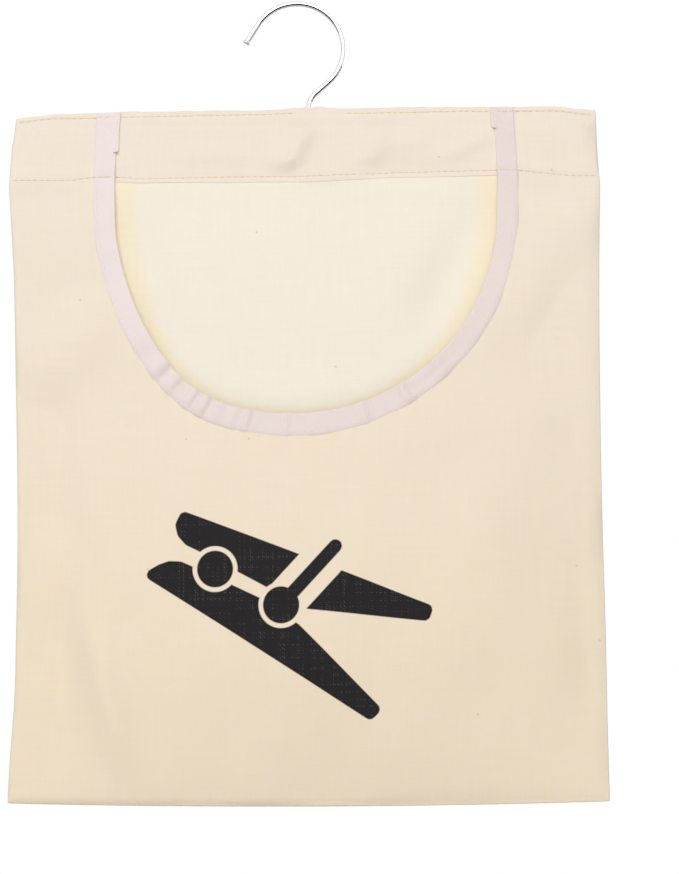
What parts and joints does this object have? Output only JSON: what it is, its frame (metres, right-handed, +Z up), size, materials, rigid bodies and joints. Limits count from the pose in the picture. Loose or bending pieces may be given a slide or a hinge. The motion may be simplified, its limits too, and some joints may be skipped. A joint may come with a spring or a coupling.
{
  "type": "peg bag",
  "caption": "Flat cotton peg bag with a deep bound U mouth, sewn round a wooden hanger bar and hung on a swivelling wire hook, to hold clothes pegs on a line or rail.",
  "frame": {"origin": "the hang point: on the underside of the hook's crown, on the axis that the hook turns about", "axes": "+Z up along the stem of the hook, +X to the right as the mouth is faced, +Y through the bag to its back"},
  "size_m": [0.261, 0.022, 0.357],
  "materials": {
    "cotton": "plain weave, matt",
    "tape": "bias tape, matt",
    "thread": "sewing thread",
    "chrome": "bright chrome on wire",
    "steel": "zinc-plated",
    "beech": "sanded, unvarnished"
  },
  "bodies": {
    "hook": {"hook": "chrome"},
    "bag": {"hanger_bar": "beech", "hook_washer": "steel", "back_panel": "cotton", "casing_strip": "cotton", "front_panel": "cotton", "mouth_binding": "tape", "top_stitch_left": "thread", "top_stitch_right": "thread", "casing_stitch": "thread", "binding_stitch": "thread", "left_side_seam": "cotton", "right_side_seam": "cotton", "bottom_seam": "cotton"}
  },
  "joints": [
    {"name": "hook_swivel", "type": "hinge", "parent": "hook", "child": "bag", "pos_m": [0, 0, 0], "axis": [0, 0, 1], "continuous": true}
  ]
}
